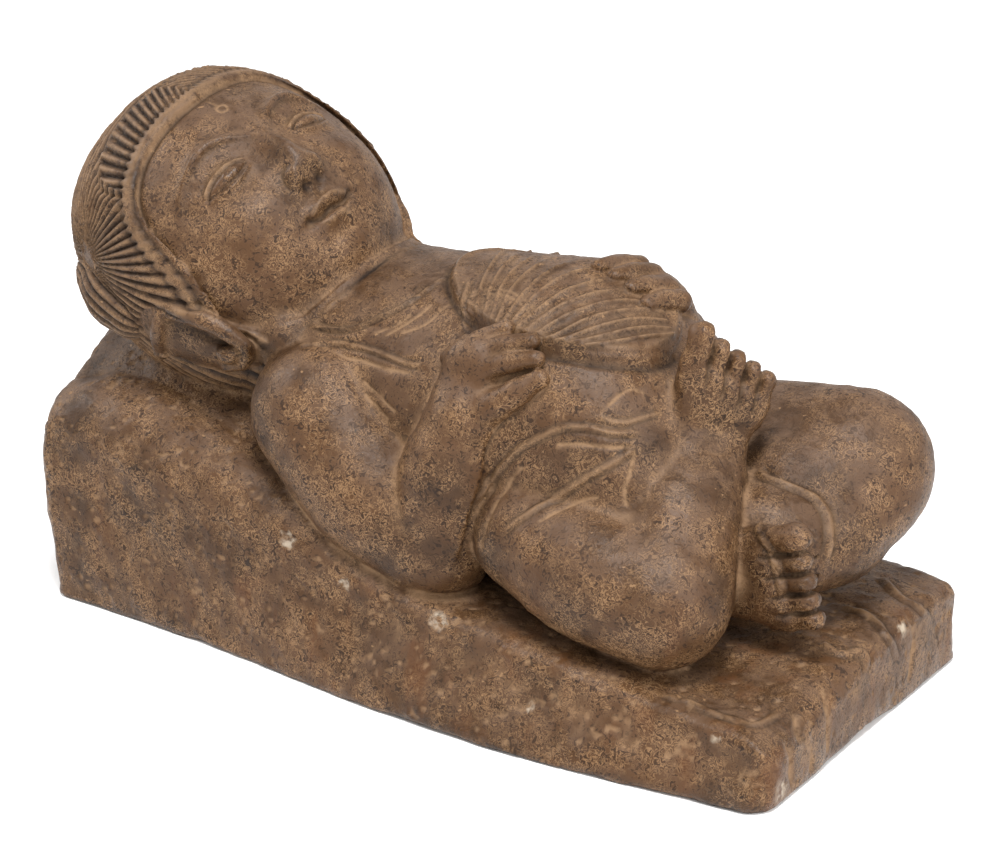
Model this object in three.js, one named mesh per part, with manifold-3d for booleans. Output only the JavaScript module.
// A stone carving of a child deity that lies on its back on a sloping block, with a palm-leaf fan on
// the chest. The block, the figure, the fan and the cloth are cut from one stone, so the part is one solid.
// Millimetres, +Z up. +X runs from the crown of the head to the feet and -Y is the figure's right side.
// The origin is under the middle of the part, on the floor.
import * as THREE from 'three';
import { mergeVertices } from 'three/addons/utils/BufferGeometryUtils.js';
import Module from 'manifold-3d';

// Driving dimensions. X is measured from the middle of the block's length. The head reaches past the
// block, so the part's own middle lies this much nearer the head.
const MIDDLE_SHIFT = 25.4;
const BLOCK_LENGTH = 720;
const BLOCK_WIDTH = 326;
const FOOT_FLARE = 30; // how far the rough lower edge stands out past the block's side
const CORNER = 12; // plan radius of the block's upright corners at the head
const FOOT_ROUNDING = 28; // how softly the block rolls over at the foot end
const HEAD_END = -BLOCK_LENGTH / 2;
const FOOT_END = BLOCK_LENGTH / 2;

// The block's long edges from the pillow down to the foot end: [x, height, edge radius].
const EDGE_PROFILE = [
  [-360, 188, 52],
  [-330, 202, 58],
  [-270, 200, 58],
  [-190, 178, 48],
  [-98, 143, 30],
  [-38, 111, 22],
  [20, 93, 18],
  [90, 86, 16],
  [160, 77, 14],
  [245, 66, 12],
  [330, 62, 12],
  [360, 58, 12],
];

// The head: an egg with its long axis down the slope, rolled a little to the figure's right.
const HEAD_AT = [-255, -14, 318];
const HEAD_SIZE = [128, 124, 153]; // half width, half depth from face to back, half height
const HEAD_SLOPE = 25; // degrees that the crown axis rises from level
const HEAD_ROLL = 18; // degrees that the face turns to the figure's right
const HAIR_THICKNESS = 6;
const FLAT_WAY = [0.2, 0.33, 0.92]; // where the front of the crown is a little flat, in half sizes
const FLAT_SHARE = 0.075; // how much of the radius is missing there
const EYE_WIDTH = 46; // a face is five eyes wide, from one side of the hairline to the other
const HAIRLINE = { middle: -35, half: 2.5 * EYE_WIDTH, rise: 104, power: 3.3 }; // a rounded opening
const GATHER = [0.92, 0, 0.4]; // where the strands meet above each ear, as a direction from the middle
const STRANDS = 26;

// The body from the throat over the chest and belly to the hips.
// [x, middle height, half width, half height]
const BODY = [
  [-218, 236, 70, 48],
  [-184, 238, 98, 72],
  [-140, 236, 112, 84],
  [-96, 228, 119, 94],
  [-50, 222, 122, 103],
  [0, 217, 123, 110],
  [44, 215, 124, 119],
  [84, 213, 124, 126],
  [126, 206, 122, 124],
  [164, 194, 117, 114],
  [196, 178, 108, 92],
  [222, 158, 90, 60],
];
const BODY_LEAN = 4; // how far the body's middle lies to the figure's left

// The fan seen from above: an oval leaf, and the heart near its edge that the ribs spread from.
const FAN_LEAF = { at: [72, -4], half: [106, 78], turn: -10 };
const FAN_HEART = [94, -82];
const FAN_RIBS = 13;
const FAN_THICKNESS = 8;

const TOES = [1.3, 1.05, 1, 0.95, 0.9]; // sizes from the big toe down

const wasm = await Module();
wasm.setup();

const vec = (p) => new THREE.Vector3(...p);
const { lerp, smoothstep, clamp } = THREE.MathUtils;
const rad = THREE.MathUtils.degToRad;
const hump = (x, at, width) => Math.exp(-(((x - at) / width) ** 2));

// A closed mesh as a solid that can be joined and cut.
function solid(geometry) {
  const bare = new THREE.BufferGeometry();
  bare.setAttribute('position', geometry.getAttribute('position').clone());
  if (geometry.index) bare.setIndex(geometry.index);
  const merged = mergeVertices(bare, 1e-3);
  return new wasm.Manifold(new wasm.Mesh({
    numProp: 3,
    vertProperties: merged.attributes.position.array,
    triVerts: new Uint32Array(merged.index.array),
  }));
}

const join = (pieces) => pieces.reduce((sum, piece) => sum.add(piece));

// A skin over rings of points, each ring with the same count, closed at both ends.
function skin(rings) {
  const count = rings[0].length;
  const points = rings.flat();
  const faces = [];
  const middle = (ring) => ring.reduce((sum, p) => sum.add(p), new THREE.Vector3()).divideScalar(count);
  const first = points.push(middle(rings[0])) - 1;
  const last = points.push(middle(rings.at(-1))) - 1;
  const end = (rings.length - 1) * count;
  for (let j = 0; j < count; j++) {
    const k = (j + 1) % count;
    for (let i = 0; i < end; i += count) {
      faces.push(i + j, i + k, i + count + k, i + j, i + count + k, i + count + j);
    }
    faces.push(first, k, j, last, end + j, end + k);
  }
  const made = new THREE.BufferGeometry()
    .setAttribute('position', new THREE.Float32BufferAttribute(points.flatMap((p) => p.toArray()), 3))
    .setIndex(faces);
  const body = solid(made);
  if (body.volume() > 0) return body;
  for (let i = 0; i < faces.length; i += 3) [faces[i], faces[i + 1]] = [faces[i + 1], faces[i]];
  return solid(made.setIndex(faces));
}

// An egg: a ball stretched to three half sizes, turned, then put in place.
function egg(at, size, turn = [0, 0, 0], detail = 14) {
  const ball = new THREE.SphereGeometry(1, detail, Math.round(detail * 0.7));
  const spin = new THREE.Quaternion().setFromEuler(new THREE.Euler(...turn.map(rad), 'ZYX'));
  return solid(ball.applyMatrix4(new THREE.Matrix4().compose(vec(at), spin, vec(size))));
}

// A limb: rounded sections carried along a smooth curve, their radius running through the given values,
// with a half ball at each end. flat squeezes the section along the direction up, and ridge makes every
// second point of the section stand in, as strands do.
function limb(path, radii, options) {
  const { sides, steps, flat = 1, up = [0, 0, 1], ridge = 0, ends = [70, 35] } = options;
  const curve = new THREE.CatmullRomCurve3(path.map(vec), false, 'centripetal');
  const count = steps * (path.length - 1);
  const rings = [];
  const ring = (t, push, shrink) => {
    const along = curve.getTangent(t);
    const v = vec(up).addScaledVector(along, -vec(up).dot(along)).normalize();
    const u = new THREE.Vector3().crossVectors(v, along);
    const s = t * (radii.length - 1);
    const i = Math.min(Math.floor(s), radii.length - 2);
    const r = lerp(radii[i], radii[i + 1], smoothstep(s - i, 0, 1));
    const centre = curve.getPoint(t).addScaledVector(along, push * r);
    rings.push(Array.from({ length: sides }, (_, j) => {
      const a = (2 * Math.PI * j) / sides;
      const out = r * shrink - (j % 2) * ridge;
      const point = centre.clone().addScaledVector(u, out * Math.cos(a));
      return point.addScaledVector(v, flat * out * Math.sin(a));
    }));
  };
  for (const a of ends) ring(0, -Math.sin(rad(a)), Math.cos(rad(a)));
  for (let i = 0; i <= count; i++) ring(i / count, 0, 1);
  for (const a of [...ends].reverse()) ring(1, Math.sin(rad(a)), Math.cos(rad(a)));
  return skin(rings);
}

// A finger or a toe: a small limb with few facets.
const digit = (path, radii) => limb(path, radii, { sides: 6, steps: 1, ends: [50] });

// A value read at x from a profile table, by straight lines between its rows.
function read(profile, x, column) {
  const i = Math.max(1, profile.findIndex((row) => row[0] >= x));
  const [a, b] = [profile[i - 1], profile[i]];
  return lerp(a[column], b[column], clamp((x - a[0]) / (b[0] - a[0]), 0, 1));
}

// The block: one section after another down its length, each with sides that flare at the foot, rounded
// long edges, a pillow at the head end and a top that rises a little to the figure's left at the foot end.
function block() {
  const rings = [];
  const section = (x, inset, drop, lean) => {
    const w = BLOCK_WIDTH / 2 - inset;
    const h = read(EDGE_PROFILE, x, 1) - drop;
    const r = read(EDGE_PROFILE, x, 2);
    const pillow = 34 * (1 - smoothstep(x, -250, -60)) + 6;
    const rise = 14 * smoothstep(x, 100, 300);
    const flare = FOOT_FLARE * hump(x, 90, 230);
    const half = [[w + flare, 0], [w + flare * 0.9, h * 0.15], [w + flare * 0.3, h * 0.5], [w, h - r]];
    for (const a of [22, 45, 68]) {
      half.push([w - r * (1 - Math.cos(rad(a))), h - r * (1 - Math.sin(rad(a)))]);
    }
    for (const s of [1, 0.5]) half.push([s * (w - r), h + pillow * (1 - s * s)]);
    const left = half.map(([y, z], i) => [y, z + (i > 2 ? rise : 0)]);
    const right = half.map(([y, z]) => [-y, z]).reverse();
    const ring = [...left, [0, h + pillow + rise / 2], ...right];
    rings.push(ring.map(([y, z]) => new THREE.Vector3(x + lean * z, y, z)));
  };
  section(HEAD_END, CORNER, 22, -0.09);
  section(HEAD_END + 4, CORNER * 0.3, 8, -0.09);
  section(HEAD_END + CORNER, 0, 0, -0.07);
  for (const [x] of EDGE_PROFILE.slice(1, -1)) section(x, 0, 0, 0);
  section(FOOT_END - FOOT_ROUNDING * 0.3, FOOT_ROUNDING * 0.22, FOOT_ROUNDING * 0.3, 0);
  section(FOOT_END, FOOT_ROUNDING * 0.75, FOOT_ROUNDING, 0);
  return skin(rings);
}

// The relief of a calm child's face over the head's egg, at x across the face and z up it. The eyes lie
// just under the middle, an eye's width apart, and the nose and mouth divide the rest in thirds.
function relief(x, z) {
  const a = Math.abs(x);
  const bump = (high, ax, az, wx, wz) => high * hump(a, ax, wx) * hump(z, az, wz);
  const lid = 14 - 0.011 * (a - 50) ** 2;
  const brow = 6 * hump(z, lid + 2, 7) * hump(a, 50, 34);
  const socket = bump(-8, 50, -17, 34, 18);
  const eye = bump(11, 50, -17, 20, 9);
  const bridge = hump(a, 0, lerp(9, 15, smoothstep(-z, 0, 55)));
  const nose = 17 * bridge * smoothstep(z, -70, -52) * (1 - smoothstep(z, -50, 26));
  const wings = bump(7, 14, -57, 7, 8);
  const mouth = -4 * hump(a, 0, 30) * hump(z, -90, 3);
  const lips = 7 * hump(a, 0, 22) * hump(z, -83, 5) + 7 * hump(a, 0, 18) * hump(z, -97, 6) + mouth;
  const chin = bump(9, 0, -126, 30, 18) - 3 * hump(a, 0, 18) * hump(z, -108, 6);
  const cheek = bump(9, 62, -62, 36, 36);
  return brow + socket + eye + nose + wings + lips + chin + cheek;
}

// How much of its radius the head keeps in the direction q, which is counted in half sizes.
function keeps(q) {
  const toward = q.clone().normalize().dot(vec(FLAT_WAY).normalize());
  return 1 - FLAT_SHARE * Math.max(0, toward) ** 6;
}

// The head with its relief, in its own frame: x to the figure's right, y to the face, z to the crown.
// Its rows and columns close up where the eyes, nose and mouth are.
function skull() {
  const [w, d, h] = HEAD_SIZE;
  const half = [0, 4, 7.5, 11.5, 17, 23, 29.5, 36, 45, 56, 70];
  const turns = [...half.slice(1).reverse().map((a) => -a), ...half, 100, 140, 180, 220, 260];
  const brows = [138, 106, 74, 46, 26, 15, 3];
  const eyes = [-8, -17, -26, -38, -50, -59, -67];
  const mouth = [-77, -84, -90, -97, -107, -118, -129, -142];
  const rows = [...brows, ...eyes, ...mouth];
  const rings = rows.map((z) => turns.map((a) => {
    const r = Math.sqrt(1 - (z / h) ** 2);
    const p = vec([w * r * Math.sin(rad(a)), d * r * Math.cos(rad(a)), z]);
    p.multiplyScalar(keeps(vec([p.x / w, p.y / d, p.z / h])));
    return p.add(vec([0, smoothstep(p.y, 10, 50) * relief(p.x, p.z), 0]));
  }));
  return skin(rings);
}

const opening = (x, z) => (Math.abs(x) / HAIRLINE.half) ** HAIRLINE.power
  + (Math.abs(z - HAIRLINE.middle) / HAIRLINE.rise) ** HAIRLINE.power;

// A point of the hairline: a turns round the face opening from the crown side to the ears.
function hairline(a, onHead) {
  const [s, c] = [Math.sin(a), Math.cos(a)];
  const k = opening(s * 100, HAIRLINE.middle + c * 100) ** (-1 / HAIRLINE.power);
  const [w, d, h] = HEAD_SIZE;
  const level = (100 * k * s / w) ** 2 + ((HAIRLINE.middle + 100 * k * c) / h) ** 2;
  const inward = onHead ? Math.sqrt(0.98 / Math.max(level, 0.98)) : 1;
  const [x, z] = [100 * k * s * inward, (HAIRLINE.middle + 100 * k * c) * inward];
  const y = d * Math.sqrt(Math.max(0.02, 1 - level * inward ** 2));
  const kept = keeps(vec([x / w, y / d, z / h]));
  return [x * kept, y * kept, z * kept];
}

// The hair: a shell over the head, ridged by strands that run from one gathering point over the head
// to the other, and open round the face. A rolled edge follows the opening.
function hair() {
  const size = HEAD_SIZE.map((s) => s + HAIR_THICKNESS);
  const rings = [];
  for (const degrees of [6, 24, 46, 68, 90, 112, 134, 156, 174]) {
    const run = rad(degrees);
    const deep = 2.8 * Math.sin(run);
    rings.push(Array.from({ length: 2 * STRANDS }, (_, j) => {
      const turn = (Math.PI * j) / STRANDS;
      const way = vec([
        GATHER[0] * Math.cos(run),
        GATHER[1] + Math.sin(run) * Math.cos(turn),
        GATHER[2] + Math.sin(run) * Math.sin(turn),
      ]).normalize();
      const q = vec([way.x / size[0], way.y / size[1], way.z / size[2]]);
      const r = keeps(q) / q.length();
      return way.multiplyScalar(r + (j % 2 ? deep : -deep));
    }));
  }
  const turns = Array.from({ length: 28 }, (_, i) => (2 * Math.PI * i) / 28);
  const window = [30, 220].map((y) => turns.map((a) => {
    const [x, , z] = hairline(a, false);
    return vec([0.97 * x, y, HAIRLINE.middle + 0.97 * (z - HAIRLINE.middle)]);
  }));
  const edge = Array.from({ length: 19 }, (_, i) => hairline(rad(-117 + 13 * i), true));
  const rolled = limb(edge, [6.5, 6.5], { sides: 5, steps: 1, up: [0, 1, 0], ends: [] });
  return skin(rings).subtract(skin(window)).add(rolled);
}

// A long ear: a slab with a round lobe below, a short bar across its top, and a rolled rim that runs
// down the front, round the lobe and back.
function ear(s) {
  const x = (p) => (s > 0 ? p : [14 - p[0], p[1] - 14, p[2]]);
  const bar = [[126, 20, -26], [133, -4, -30], [128, -32, -33]];
  const front = [[126, 20, -37], [122, 30, -62], [115, 31, -90]];
  const back = [[109, 20, -106], [109, 2, -106], [113, -12, -92]];
  const plain = limb([[119, -12, -46], [109, 0, -84]].map(x), [22, 20], {
    sides: 8, steps: 1, flat: 0.5, up: [1, 0, 0], ends: [45],
  });
  const cord = (path, radii) => limb(path.map(x), radii, { sides: 5, steps: 1, ends: [45] });
  const lobe = egg(x([113, 9, -93]), [12, 11, 12], [0, 0, 0], 7);
  return join([plain, lobe, cord(bar, [6, 7, 7]), cord([...front, ...back], [7, 8, 7.5, 6, 5.5, 5])]);
}

// A hair roll above and behind the ear, with strands along the one on the figure's right.
function roll(s) {
  const combed = s > 0 ? { sides: 18, ridge: 2.4 } : { sides: 10 };
  return limb([[s * 109, -28, 58], [s * 117, -25, 34], [s * 119, -22, 12]], [24, 29, 27],
    { ...combed, steps: 2, flat: 0.85, up: [1, 0, 0], ends: [45] });
}

function head() {
  const crown = vec([-Math.cos(rad(HEAD_SLOPE)), 0, Math.sin(rad(HEAD_SLOPE))]);
  const face = vec([Math.sin(rad(HEAD_SLOPE)), 0, Math.cos(rad(HEAD_SLOPE))])
    .multiplyScalar(Math.cos(rad(HEAD_ROLL))).addScaledVector(vec([0, -1, 0]), Math.sin(rad(HEAD_ROLL)));
  const right = new THREE.Vector3().crossVectors(face, crown);
  const frame = new THREE.Matrix4().makeBasis(right, face, crown).setPosition(vec(HEAD_AT));
  return join([skull(), hair(), ear(1), ear(-1), roll(1), roll(-1)]).transform(frame.elements);
}

// The body's section at x: middle height, half width and half height, smooth between the table's rows.
function bodyAt(x) {
  const i = clamp(BODY.findIndex((row) => row[0] >= x), 1, BODY.length - 1);
  const t = clamp((x - BODY[i - 1][0]) / (BODY[i][0] - BODY[i - 1][0]), 0, 1);
  return [1, 2, 3].map((k) => lerp(BODY[i - 1][k], BODY[i][k], t));
}

// The height of the body's skin over the point x, y.
function bodyTop(x, y) {
  const [z, w, h] = bodyAt(x);
  return z + h * Math.sqrt(Math.max(0, 1 - ((y - BODY_LEAN) / w) ** 2));
}

function torso() {
  return skin(BODY.map(([x, z, w, h]) => Array.from({ length: 24 }, (_, j) => {
    const a = (2 * Math.PI * j) / 24;
    return vec([x, BODY_LEAN + w * Math.cos(a), z + h * Math.sin(a)]);
  })));
}

// The fan: ribs that spread from its heart over the chest and belly, each standing up as a ridge, with
// the leaf sunk between them and its edge standing clear of the body.
function fan() {
  const { at, half, turn } = FAN_LEAF;
  const [c, s] = [Math.cos(rad(turn)), Math.sin(rad(turn))];
  const local = ([x, y]) => [(c * x + s * y) / half[0], (c * y - s * x) / half[1]];
  const start = local([FAN_HEART[0] - at[0], FAN_HEART[1] - at[1]]);
  const reach = (a) => {
    const way = local([Math.cos(a), Math.sin(a)]);
    const [p, q] = [way[0] ** 2 + way[1] ** 2, start[0] * way[0] + start[1] * way[1]];
    return (-q + Math.sqrt(Math.max(0, q * q - p * (start[0] ** 2 + start[1] ** 2 - 1)))) / p;
  };
  const count = 2 * FAN_RIBS;
  const rings = Array.from({ length: count + 1 }, (_, i) => {
    const a = rad(lerp(184, -8, i / count));
    const long = reach(a) - (i % 2 ? 4 : 0);
    const point = (f, drop) => {
      const x = FAN_HEART[0] + f * long * Math.cos(a);
      const y = FAN_HEART[1] + f * long * Math.sin(a);
      const ridge = (i % 2 ? -2.2 : 2.2) * Math.min(1, 2 * f);
      return vec([x, y, bodyTop(x, y) + FAN_THICKNESS + ridge - drop]);
    };
    const top = [0.1, 0.4, 0.7].map((f) => point(f, 0));
    return [...top, point(0.95, 1), point(1, 4), point(1, 30), point(0.1, 30)];
  });
  return skin(rings);
}

// A foot: rounded sections from the heel to the ball, and five toes that step back one after another.
// Each section is [share of the length, share of the width, share of the thickness].
function foot({ heel, ball, wide, width, thick, reach, step }) {
  const sections = [
    [-0.16, 0.34, 0.5],
    [-0.05, 0.56, 0.9],
    [0.2, 0.64, 1],
    [0.5, 0.76, 0.86],
    [0.8, 0.96, 0.7],
    [1, 1, 0.56],
    [1.05, 0.9, 0.3],
  ];
  const ahead = vec(ball).sub(vec(heel)).normalize();
  const broad = vec(wide).addScaledVector(ahead, -vec(wide).dot(ahead)).normalize();
  const out = new THREE.Vector3().crossVectors(broad, ahead);
  const length = vec(ball).distanceTo(vec(heel));
  const place = (forth, over, up) => vec(heel).addScaledVector(ahead, forth)
    .addScaledVector(broad, over).addScaledVector(out, up);
  const square = (value) => Math.sign(value) * Math.abs(value) ** 0.75;
  const pieces = [skin(sections.map(([t, w, d]) => Array.from({ length: 12 }, (_, j) => {
    const [c, s] = [square(Math.cos((Math.PI * j) / 6)), square(Math.sin((Math.PI * j) / 6))];
    const back = step * c * smoothstep(t, 0.3, 1) * length;
    return place(t * length - back, (w * c * width) / 2, (d * s * thick) / 2);
  })))];
  const total = TOES.reduce((sum, size) => sum + size, 0);
  let used = 0;
  for (const size of TOES) {
    const c = (2 * used + size) / total - 1;
    used += size;
    const [root, over] = [length * (1 - step * c) - 6, c * width * 0.49];
    const long = (reach * (1 + size / TOES[0])) / 2;
    const half = (size / total) * width * 0.56;
    const path = [place(root, over, 0).toArray(), place(root + long, over, 2).toArray()];
    pieces.push(digit(path, [half * 0.92, half]));
  }
  return join(pieces);
}

const FOREARM = { sides: 12, steps: 2, up: [1, 0, 0] };
const PALM = { sides: 10, steps: 1, flat: 0.64 };

function rightArm() {
  return join([
    limb([[-104, -98, 210], [-48, -112, 164], [8, -114, 130]], [62, 58, 48], { sides: 14, steps: 2 }),
    limb([[24, -112, 124], [32, -117, 186], [46, -112, 240]], [42, 41, 31], FOREARM),
    limb([[44, -108, 238], [50, -102, 282]], [30, 27], { ...PALM, up: [0.3, -1, 0.3] }),
    digit([[66, -116, 252], [90, -110, 270], [110, -100, 285]], [14, 11, 8]),
    digit([[24, -98, 284], [46, -92, 300], [68, -84, 314]], [9, 9, 7]),
    digit([[44, -101, 289], [70, -95, 302], [94, -87, 309]], [9, 9, 7]),
    digit([[56, -107, 282], [80, -101, 292], [103, -94, 298]], [9, 9, 7]),
  ]);
}

function leftArm() {
  return join([
    limb([[-100, 100, 215], [-30, 118, 178], [56, 120, 172]], [58, 54, 46], { sides: 10, steps: 2 }),
    limb([[76, 120, 172], [110, 108, 224], [131, 76, 270]], [44, 39, 27], { sides: 12, steps: 2 }),
    limb([[133, 75, 275], [130, 48, 312]], [27, 30], { ...PALM, up: [0.1, 0.6, 0.8] }),
    ...[0, 1, 2, 3].map((i) => digit([0, 0.5, 1].map((t) => {
      const [x, y] = [lerp(112 + 15 * i, 97 + 17 * i, t), lerp(44 - 3 * i, 6 - 2 * i, t)];
      return [x, y, bodyTop(x, y) + 11 - 3 * t];
    }), [10, 9.5, 7.5])),
  ]);
}

function legs() {
  return join([
    limb([[104, -98, 150], [168, -108, 136], [228, -104, 124]], [50, 56, 54], { sides: 16, steps: 2 }),
    limb([[226, -86, 138], [214, -58, 168], [206, -26, 194]], [52, 51, 46], { sides: 14, steps: 2 }),
    egg([164, -62, 172], [62, 50, 46], [0, 10, 0], 10),
    limb([[126, 92, 160], [210, 104, 172], [284, 108, 178]], [58, 64, 66], { sides: 16, steps: 2 }),
    limb([[290, 92, 168], [296, 56, 148], [282, 10, 140]], [54, 46, 40], { sides: 12, steps: 2 }),
    egg([252, 62, 166], [70, 60, 58], [0, 0, 0], 12),
    egg([260, 2, 160], [52, 42, 36], [0, 0, 0], 12),
  ]);
}

// A point on the body's skin at x, so many degrees round from the top to the figure's right.
function onBody([x, turn]) {
  const [z, w, h] = bodyAt(x);
  return [x, BODY_LEAN - w * Math.sin(rad(turn)), z + h * Math.cos(rad(turn))];
}

// The cloth's edges: cords of stone half sunk in the body, each given by stations along the body and
// degrees round it.
function hems() {
  const cord = (path) => limb(path.map(onBody), [5.5, 5.5], { sides: 5, steps: 2, ends: [] });
  const collar = [[-120, 62], [-89, 54], [-55, 41], [-34, 27], [-16, 18]];
  const armhole = [[-118, 68], [-84, 61], [-42, 59], [-4, 61]];
  const belly = [[196, 39], [164, 57], [136, 67], [113, 78], [92, 92], [72, 114]];
  return join([cord(collar), cord(armhole), cord(belly)]);
}

function feet() {
  const right = { heel: [204, -20, 190], ball: [227, -8, 283], wide: [0.7, 0.71, 0], width: 86, thick: 42 };
  const left = { heel: [238, -34, 118], ball: [304, -42, 140], wide: [0.5, 0, -0.86], width: 92, thick: 44 };
  return foot({ ...right, reach: 24, step: 0.16 }).add(foot({ ...left, reach: 26, step: 0 }));
}

const carving = join([block(), torso(), head(), rightArm(), leftArm(), legs(), feet(), fan(), hems()]);

const made = carving.translate([MIDDLE_SHIFT, 0, 0]).getMesh();
const geometry = new THREE.BufferGeometry()
  .setAttribute('position', new THREE.BufferAttribute(made.vertProperties, 3))
  .setIndex(new THREE.BufferAttribute(made.triVerts, 1));
const stone = new THREE.MeshStandardMaterial({ color: 0x6d5341, roughness: 0.72, metalness: 0 });
stone.flatShading = true;
const statue = new THREE.Mesh(geometry, stone);
statue.name = 'reclining_child_deity';

const group = new THREE.Group();
group.add(statue);
export default group;
